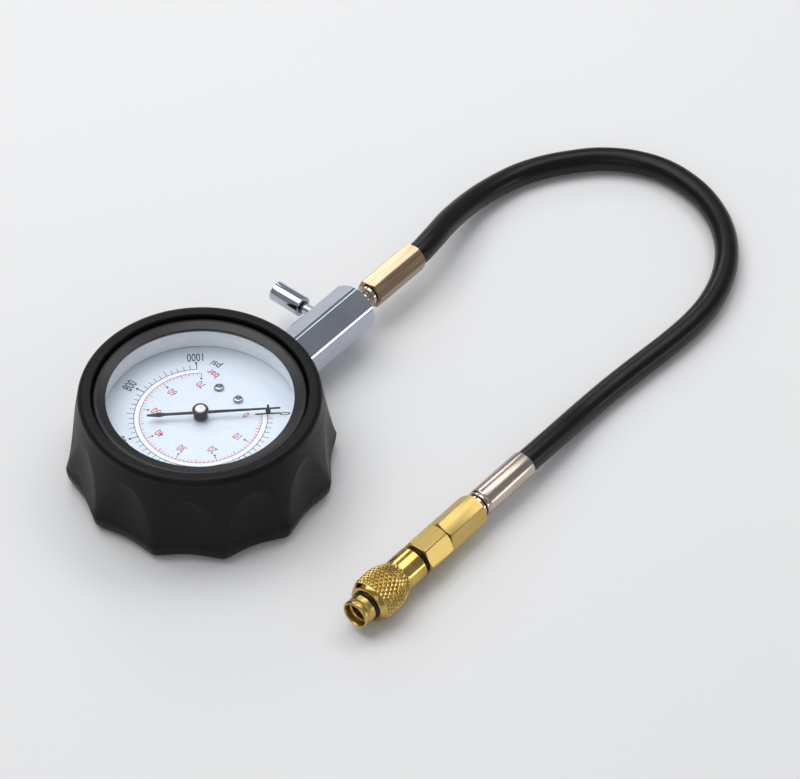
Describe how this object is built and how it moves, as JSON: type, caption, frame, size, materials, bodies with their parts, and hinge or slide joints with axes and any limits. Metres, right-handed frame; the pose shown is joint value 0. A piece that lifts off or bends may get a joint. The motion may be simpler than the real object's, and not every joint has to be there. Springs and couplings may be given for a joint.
{
  "type": "compression tester gauge",
  "caption": "Round pressure gauge in a scalloped rubber boot with a hex valve body, side relief button, rubber hose and a brass quick coupler.",
  "frame": {"origin": "centre of the boot's flat back, which the gauge rests on", "axes": "+Z out of the dial towards the reader, +Y to 12 o'clock on the dial, so the stem leaves towards -Y; +X to 3 o'clock"},
  "size_m": [0.1597, 0.2946, 0.0396],
  "materials": {
    "black_rubber": "matte",
    "steel": "satin",
    "bezel_black": "satin",
    "lens_glass": "gloss",
    "dial_white": "matte",
    "pointer_black": "satin",
    "nickel": "gloss",
    "pale_nickel": "satin",
    "brass": "satin",
    "bronze": "satin",
    "copper": "satin"
  },
  "bodies": {
    "base": {"rubber_boot": "black_rubber", "lens_gasket": "black_rubber", "hose": "black_rubber", "bore_seal": "black_rubber", "gauge_case": "steel", "case_screw_left": "steel", "case_screw_right": "steel", "stop_pin": "steel", "tip_pin": "steel", "movement_screw_1": "steel", "movement_screw_2": "steel", "relief_spring": "steel", "sleeve_spring": "steel", "lock_ball_1": "steel", "lock_ball_2": "steel", "lock_ball_3": "steel", "snap_ring": "steel", "check_spring": "steel", "bezel_ring": "bezel_black", "lens": "lens_glass", "inner_ring": "dial_white", "dial_plate": "dial_white", "dial_screw_left": "nickel", "dial_screw_right": "nickel", "valve_body": "nickel", "relief_bush": "nickel", "ferrule_b": "nickel", "nipple_b": "nickel", "ferrule_a": "pale_nickel", "nipple_a": "pale_nickel", "lower_plate": "brass", "upper_plate": "brass", "pillar_1": "brass", "pillar_2": "brass", "pillar_3": "brass", "dial_post_left": "brass", "dial_post_right": "brass", "hairspring_stud": "brass", "socket_block": "brass", "tube_tip": "brass", "hex_adapter": "brass", "coupler_body": "brass", "hairspring": "bronze", "bourdon_tube": "bronze", "stem_washer": "copper"},
    "sector": {"sector_gear": "brass", "sector_arbor": "steel", "sector_pin": "steel"},
    "pointer_body": {"pinion": "steel", "pointer_shaft": "steel", "pointer": "pointer_black", "pointer_hub": "nickel", "hairspring_collet": "brass"},
    "link": {"tip_link": "brass"},
    "relief": {"relief_button": "nickel", "relief_pin": "steel", "relief_seal": "black_rubber"},
    "sleeve": {"coupler_sleeve": "brass"},
    "check_valve": {"check_poppet": "brass"}
  },
  "joints": [
    {"name": "sector_turn", "type": "hinge", "parent": "base", "child": "sector", "pos_m": [0.00994, -0.01722, 0.0142], "axis": [0, 0, 1], "range_deg": [0, 27], "stiffness_Nm_per_rad": 0.02, "deforming": ["bourdon_tube", "tube_tip", "tip_pin", "hairspring"]},
    {"name": "pointer_turn", "type": "hinge", "parent": "base", "child": "pointer_body", "pos_m": [0, 0, 0.0273], "axis": [0, 0, -1], "range_deg": [0, 270]},
    {"name": "link_swing", "type": "hinge", "parent": "sector", "child": "link", "pos_m": [0.01444, -0.02501, 0.0156], "axis": [0, 0, 1], "range_deg": [-22.5, 0]},
    {"name": "relief_press", "type": "slide", "parent": "base", "child": "relief", "axis": [-1, 0, 0], "range_m": [0, 0.002], "stiffness_N_per_m": 600, "springref_m": -0.002, "deforming": ["relief_spring"]},
    {"name": "sleeve_pull", "type": "slide", "parent": "base", "child": "sleeve", "axis": [0, -1, 0], "range_m": [0, 0.0016], "stiffness_N_per_m": 900, "springref_m": -0.003, "deforming": ["sleeve_spring"]},
    {"name": "check_lift", "type": "slide", "parent": "base", "child": "check_valve", "axis": [0, -1, 0], "range_m": [0, 0.0015], "stiffness_N_per_m": 200, "springref_m": -0.002, "deforming": ["check_spring"]}
  ],
  "couplings": [
    {"joint": "pointer_turn", "follows": "sector_turn", "ratio": 10},
    {"joint": "link_swing", "follows": "sector_turn", "ratio": -0.82}
  ]
}
